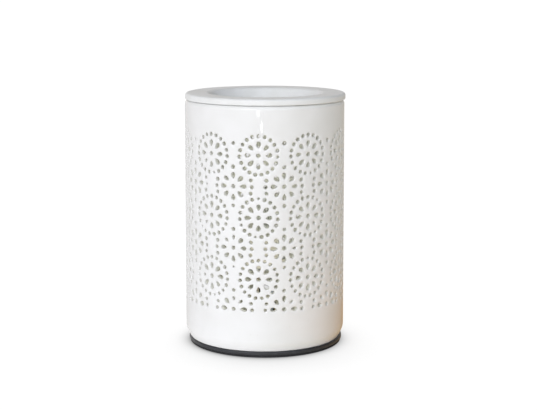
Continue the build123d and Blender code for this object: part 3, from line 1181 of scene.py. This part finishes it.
@dataclass
class InnerParts:
    """The parts inside the shade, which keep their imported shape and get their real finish."""

    # Zinc-plated steel: pale blue-grey and bright on the heads of the screws.
    zinc: PlainFinish = PlainFinish(
        "zinc_plated_steel", "#B9BCC0", "#A5A8AE", 0.3, metallic=1.0, grain_mm=0.3, grain_height_mm=0.003,
        patch_mm=4.0,
    )
    # Rolled steel strip: grey, its fine grain along the strip softens what it reflects.
    strip: PlainFinish = PlainFinish(
        "rolled_steel", "#B4B6B8", "#9C9FA3", 0.34, metallic=1.0, grain_mm=0.4, grain_height_mm=0.004,
        stretch=(1.0, 12.0, 1.0),
    )
    # Unglazed technical porcelain: warm off-white and matt.
    steatite: PlainFinish = PlainFinish(
        "steatite", "#EAE6DA", "#DED9CA", 0.5, grain_mm=0.4, grain_height_mm=0.01,
    )
    # Drawn nickel wire: warm silver with thin bright lines.
    nickel: PlainFinish = PlainFinish(
        "nickel_wire", "#C9C6BE", "#B5B1A8", 0.22, metallic=1.0, grain_mm=0.2, grain_height_mm=0.001,
    )
    # Vulcanised fibre: red-brown, matt and a little woolly.
    fibre: PlainFinish = PlainFinish(
        "vulcan_fibre", "#6E2B1C", "#5B2216", 0.75, grain_mm=0.4, grain_height_mm=0.03,
    )
    # Spring bronze: golden brown with a clear shine.
    bronze: PlainFinish = PlainFinish(
        "spring_bronze", "#C79B5C", "#B78848", 0.28, metallic=1.0, grain_mm=0.3, grain_height_mm=0.002,
    )
    # Turned brass: yellower than the bronze and as bright.
    brass: PlainFinish = PlainFinish(
        "turned_brass", "#D0AC62", "#BE994F", 0.26, metallic=1.0, grain_mm=0.3, grain_height_mm=0.002,
    )
    # Natural polyamide: milky cream with a waxy sheen.
    polyamide: PlainFinish = PlainFinish(
        "polyamide", "#E4E1D4", "#DAD6C7", 0.45, grain_mm=0.5, grain_height_mm=0.01,
    )
    # Woven glass sleeves: pale and matt, with a brown or a blue tint that tells the leads apart.
    sleeve_brown: PlainFinish = PlainFinish(
        "glass_sleeve_brown", "#DCD2C4", "#CBBBA6", 0.6, grain_mm=0.35, grain_height_mm=0.05,
    )
    sleeve_blue: PlainFinish = PlainFinish(
        "glass_sleeve_blue", "#CFD6DE", "#B9C4D1", 0.6, grain_mm=0.35, grain_height_mm=0.05,
    )
    # Moulded rubber: black with a dull sheen round the cord's bore.
    rubber: PlainFinish = PlainFinish(
        "moulded_rubber", "#1C1C1D", "#232324", 0.6, grain_mm=0.5, grain_height_mm=0.02,
    )
    # Fused quartz: clear, it shows the filament through bright edges.
    quartz: PlainFinish = PlainFinish(
        "fused_quartz", "#F4F6F6", "#EEF1F1", 0.03, roughness_spread=0.02, transmission=1.0, ior=1.46,
        grain_height_mm=0.001,
    )
    # Tungsten wire: dark grey with a dull metal shine.
    tungsten: PlainFinish = PlainFinish(
        "tungsten", "#6B6966", "#5A5856", 0.4, metallic=1.0, grain_mm=0.1, grain_height_mm=0.001,
    )

    def finishes(self) -> dict[str, PlainFinish]:
        """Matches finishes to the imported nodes.

        Returns:
            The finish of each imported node.
        """
        return {
            "lamp_bracket": self.strip,
            "base_screws": self.zinc,
            "base_nuts": self.zinc,
            "lampholder_screws": self.zinc,
            "terminal_screws": self.zinc,
            "bracket_pads": self.fibre,
            "lampholder_body": self.steatite,
            "lampholder_contacts": self.bronze,
            "terminal_barrels": self.brass,
            "terminal_block": self.polyamide,
            "lead_live": self.sleeve_brown,
            "lead_neutral": self.sleeve_blue,
            "cord_grommet": self.rubber,
            "lamp_envelope": self.quartz,
            "lamp_loops": self.nickel,
            "lamp_filament": self.tungsten,
        }

    def dress(self) -> None:
        """Gives every kept node its material."""
        made: dict[str, bpy.types.Material] = {}
        for node, finish in self.finishes().items():
            if finish.name not in made:
                made[finish.name] = finish.material()
            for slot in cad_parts[node].material_slots:
                slot.material = made[finish.name]
            log.info("%s: %s", node, finish.name)


# Studio and camera


@dataclass(frozen=True)
class SoftLight:
    """A rectangular studio light that points at the burner."""

    name: str
    azimuth: float
    distance: float
    height: float
    width: float
    tall: float
    power: float
    colour: str = WHITE
    aim_height: float = 0.08

    def build(self) -> bpy.types.Object:
        """Adds the light; azimuth 0 is in front and positive towards +X.

        Returns:
            The light.
        """
        lamp = bpy.data.lights.new(self.name, "AREA")
        lamp.shape = "RECTANGLE"
        lamp.size, lamp.size_y = self.width, self.tall
        lamp.energy = self.power
        lamp.color = linear(self.colour)[:3]
        light = bpy.data.objects.new(self.name, lamp)
        angle = math.radians(self.azimuth)
        light.location = (self.distance * math.sin(angle), -self.distance * math.cos(angle), self.height)
        aim = Vector((0, 0, self.aim_height)) - light.location
        light.rotation_euler = aim.to_track_quat("-Z", "Y").to_euler()
        light.visible_camera = False
        bpy.context.scene.collection.objects.link(light)
        return light


@dataclass(frozen=True)
class SkyLobe:
    """A soft patch of surrounding light, widest at its middle and fading with the angle from it."""

    azimuth: float
    strength: float
    colour: str
    narrowness: float = 2.0
    tilt: float = 0.0

    def direction(self) -> Triple:
        """Finds the direction to the lobe's middle; azimuth 0 is in front and positive towards +X.

        Returns:
            A unit vector.
        """
        turn, lift = math.radians(self.azimuth), math.radians(self.tilt)
        return (math.sin(turn) * math.cos(lift), -math.cos(turn) * math.cos(lift), math.sin(lift))


@dataclass(frozen=True)
class ContactShade:
    """A round shade on the floor: as strong as its depth at the radius, fading over the reach beyond it."""

    # The shade is painted: it only dims the floor's glow, no light is blocked.
    back: float
    radius: float
    reach: float
    depth: float


@dataclass(frozen=True)
class InnerFill:
    """A faint lamp inside the shade."""

    across: float
    back: float
    height: float
    power: float


@dataclass
class Studio:
    """Plain pale floor and soft surrounding light, bright in front and on the left, dim on the right.

    The camera sees the floor as glowing paper with a soft painted shadow: it sets in between the burner's
    axis and shadow_start behind it, widens, and fades from shadow_fade to shadow_end; painted contact shades
    dim the glow round the foot. Other rays see a sheet that bounces light, warm close to the burner's right
    side, and glows softly as a light on the burner.
    """

    floor_radius: float = 12.0
    floor_segments: int = 96
    floor_glow: float = 0.97
    paper: str = "#6C6C6C"
    bounce: str = "#E2E2E2"
    bounce_warm: str = "#DC9F58"
    # Painted shades in the floor's glow: a ring at the foot and a broad one in front of it.
    contact_shades: tuple[ContactShade, ...] = (
        ContactShade(0.0, 45.2 * MM, 3.2 * MM, 0.6),
        ContactShade(-20.0 * MM, 26.0 * MM, 26.0 * MM, 0.26),
    )
    # The painted cast shadow behind the burner.
    shadow_depth: float = 0.34
    shadow_half: float = 48.0 * MM
    shadow_widening: float = 0.05
    shadow_sides: Span = (0.2, 1.1)
    shadow_start: float = 45.0 * MM
    shadow_fade: float = 0.6
    shadow_end: float = 2.0
    glow_left: str = "#9D9B99"
    glow_right: str = "#756A48"
    glow_turn: float = 30.0 * MM
    warm_start: float = 35.0 * MM
    warm_end: float = 60.0 * MM
    warm_full: float = 0.1
    warm_reach: float = 0.22
    backdrop_glow: float = 1.05
    lobes: tuple[SkyLobe, ...] = (
        SkyLobe(0, 1.76, "#F2F7FF"),
        SkyLobe(45, 0.12, WHITE),
        SkyLobe(180, 0.595, "#FFF9F4"),
        SkyLobe(225, 0.45, WHITE),
        SkyLobe(315, 0.64, "#FFF5ED"),
        SkyLobe(0, 0.13, "#FBFDFF", tilt=90.0),
        SkyLobe(-30, 1.05, "#FAF9FF", narrowness=8.0, tilt=14.5),
    )
    # The bright parts of a window: its edge, the top of it and a spot on its sill.
    window: tuple[SoftLight, ...] = (
        SoftLight("window_edge", -3.9, distance=0.82, height=0.049, width=0.034, tall=0.016, power=0.025),
        SoftLight("window_top", -9.1, distance=0.82, height=0.069, width=0.07, tall=0.009, power=0.008),
        SoftLight("window_sill", -20.0, distance=0.82, height=0.0396, width=0.06, tall=0.005, power=0.008),
    )
    # Faint light inside the shade, for what real porcelain lets through its wall.
    fills: tuple[InnerFill, ...] = (
        InnerFill(-25.0 * MM, 0.0, 80.0 * MM, 0.0105),
        InnerFill(25.0 * MM, 0.0, 80.0 * MM, 0.0105),
        InnerFill(0.0, 0.0, 120.0 * MM, 0.010),
        InnerFill(0.0, -28.0 * MM, 34.0 * MM, 0.010),
    )
    fill_radius: float = 12.0 * MM

    def cast_shadow(self, tree: Tree, place: Socket) -> Socket:
        """Adds the soft shadow on the floor behind the burner.

        Args:
            tree: the floor's node tree.
            place: the place on the floor.

        Returns:
            How much glow the shadow takes away.
        """
        # Painted shadow: it only dims the glow that the camera sees.
        axes = add_node(tree, "ShaderNodeSeparateXYZ", None, {"Vector": place}).outputs
        half = add_node(tree, "ShaderNodeMath", {"operation": "MULTIPLY_ADD"}, {
            0: axes["Y"], 1: self.shadow_widening, 2: self.shadow_half,
        }).outputs[0]
        across = calculate(tree, "DIVIDE", calculate(tree, "ABSOLUTE", axes["X"]), half)
        beside = ramp(tree, across, self.shadow_sides, (1.0, 0.0), True)
        behind = ramp(tree, axes["Y"], (0.0, self.shadow_start), (0.0, 1.0), True)
        far = ramp(tree, axes["Y"], (self.shadow_fade, self.shadow_end), (self.shadow_depth, 0.0), True)
        return calculate(tree, "MULTIPLY", calculate(tree, "MULTIPLY", beside, behind), far)

    def floor_light(self, tree: Tree, place: Socket) -> Socket:
        """Adds the floor's glow, weaker in the shadow and near the burner's foot.

        Args:
            tree: the floor's node tree.
            place: the place on the floor.

        Returns:
            The strength of the glow.
        """
        # The glow is dimmed by the painted cast shadow and the painted contact shades.
        glow = calculate(tree, "SUBTRACT", self.floor_glow, self.cast_shadow(tree, place))
        for shade in self.contact_shades:
            away = distance_from(tree, place, (0.0, shade.back, 0.0))
            gap = calculate(tree, "SUBTRACT", shade.radius, away)
            fade = calculate(tree, "EXPONENT", calculate(tree, "DIVIDE", gap, shade.reach))
            loss = calculate(tree, "MULTIPLY", fade, shade.depth)
            glow = calculate(tree, "SUBTRACT", glow, loss, clamp=True)
        return glow

    def seen_floor(self, tree: Tree, place: Socket) -> Socket:
        """Adds what the camera sees of the floor.

        Args:
            tree: the floor's node tree.
            place: the place on the floor.

        Returns:
            The shader.
        """
        paper = add_node(tree, "ShaderNodeBsdfDiffuse", None, {"Color": linear(self.paper)})
        strength = self.floor_light(tree, place)
        glow = add_node(tree, "ShaderNodeEmission", None, {"Color": linear(WHITE), "Strength": strength})
        return add_shaders(tree, paper.outputs[0], glow.outputs[0])

    def bouncing_floor(self, tree: Tree, place: Socket) -> Socket:
        """Adds what the burner gets from the floor.

        Args:
            tree: the floor's node tree.
            place: the place on the floor.

        Returns:
            The shader.
        """
        axes = add_node(tree, "ShaderNodeSeparateXYZ", None, {"Vector": place}).outputs
        beside = ramp(tree, axes["X"], (self.warm_start, self.warm_end))
        away = distance_from(tree, place, (0.0, 0.0, 0.0))
        near = ramp(tree, away, (self.warm_full, self.warm_reach), (1.0, 0.0))
        warmth = calculate(tree, "MULTIPLY", beside, near)
        bounce = blend_colours(tree, warmth, linear(self.bounce), linear(self.bounce_warm))
        sheet = add_node(tree, "ShaderNodeBsdfDiffuse", None, {"Color": bounce})
        # The sheet also glows, brighter on the left, as a soft light on the burner.
        turn = ramp(tree, axes["X"], (-self.glow_turn, self.glow_turn))
        glow = blend_colours(tree, turn, linear(self.glow_left), linear(self.glow_right))
        shine = add_node(tree, "ShaderNodeEmission", None, {"Color": glow, "Strength": 1.0})
        return add_shaders(tree, sheet.outputs[0], shine.outputs[0])

    def build_floor(self) -> None:
        """Adds the floor, a wide disc that reads as plain white with a soft contact shadow."""
        bm = bmesh.new()
        bmesh.ops.create_circle(bm, cap_ends=True, radius=self.floor_radius, segments=self.floor_segments)
        floor = finished(bm, "floor")
        # White paper sweep: it fills the picture with plain white, and its painted shadows ground the burner.
        material, tree, surface = new_material("white_sweep")
        place = add_node(tree, "ShaderNodeTexCoord").outputs["Object"]
        seen = add_node(tree, "ShaderNodeLightPath")
        mix = add_node(tree, "ShaderNodeMixShader", None, {
            0: seen.outputs["Is Camera Ray"],
            1: self.bouncing_floor(tree, place),
            2: self.seen_floor(tree, place),
        })
        tree.links.new(mix.outputs[0], surface)
        floor.data.materials.append(material)

    def surrounding_light(self, tree: Tree) -> Socket:
        """Adds up the lobes.

        Args:
            tree: the world's node tree.

        Returns:
            The shader.
        """
        place = add_node(tree, "ShaderNodeTexCoord").outputs["Generated"]
        total = None
        for lobe in self.lobes:
            facing = add_node(tree, "ShaderNodeVectorMath", {"operation": "DOT_PRODUCT"}, {
                0: place, 1: lobe.direction(),
            }).outputs["Value"]
            shaped = calculate(tree, "POWER", calculate(tree, "MAXIMUM", facing, 0.0), lobe.narrowness)
            light = add_node(tree, "ShaderNodeBackground", None, {
                "Color": linear(lobe.colour), "Strength": calculate(tree, "MULTIPLY", shaped, lobe.strength),
            }).outputs[0]
            if total is not None:
                light = add_shaders(tree, total, light)
            total = light
        return total

    def build_world(self) -> None:
        """Sets the surroundings: soft lobes of light, and plain white where the camera looks at them."""
        world = bpy.data.worlds.new("studio")
        bpy.context.scene.world = world
        world.use_nodes = True
        tree = world.node_tree
        tree.nodes.clear()
        backdrop = add_node(tree, "ShaderNodeBackground", None, {
            "Color": linear(WHITE), "Strength": self.backdrop_glow,
        })
        seen = add_node(tree, "ShaderNodeLightPath")
        mix = add_node(tree, "ShaderNodeMixShader", None, {
            0: seen.outputs["Is Camera Ray"], 1: self.surrounding_light(tree), 2: backdrop.outputs[0],
        })
        output = add_node(tree, "ShaderNodeOutputWorld")
        tree.links.new(mix.outputs[0], output.inputs["Surface"])

    def build_fills(self) -> None:
        """Adds the faint lamps inside the shade, unseen themselves."""
        for number, fill in enumerate(self.fills):
            lamp = bpy.data.lights.new(f"inner_fill_{number}", "POINT")
            lamp.energy = fill.power
            lamp.shadow_soft_size = self.fill_radius
            light = bpy.data.objects.new(lamp.name, lamp)
            light.location = (fill.across, fill.back, fill.height)
            light.visible_camera = False
            light.visible_glossy = False
            light.visible_transmission = False
            bpy.context.scene.collection.objects.link(light)

    def build(self) -> None:
        """Builds the whole studio."""
        self.build_floor()
        self.build_world()
        for light in self.window:
            light.build()
        self.build_fills()
        bpy.context.scene.view_settings.view_transform = "Standard"
        log.info("studio")


@dataclass
class PhotoCamera:
    """The photograph's view: slightly above the rim, straight from the front."""

    across: float = 2.31 * MM
    distance: float = 820.0 * MM
    height: float = 221.8 * MM
    pitch: float = 9.636
    lens: float = 92.0
    sensor: float = 36.0

    def build(self) -> bpy.types.Object:
        """Adds the camera and makes it the scene's.

        Returns:
            The camera.
        """
        data = bpy.data.cameras.new("photo_camera")
        data.lens = self.lens
        data.sensor_width = self.sensor
        camera = bpy.data.objects.new("photo_camera", data)
        camera.location = (self.across, -self.distance, self.height)
        camera.rotation_euler = (math.radians(90 - self.pitch), 0, 0)
        bpy.context.scene.collection.objects.link(camera)
        bpy.context.scene.camera = camera
        log.info("camera")
        return camera


def main() -> None:
    """Builds every piece in order."""
    logging.basicConfig(level=logging.INFO, format="%(name)s: %(message)s")
    PhotoCamera().build()
    Studio().build()
    BlackBase().build()
    PiercedShade().build()
    OilDish().build()
    InnerParts().dress()


if __name__ == "__main__":
    main()
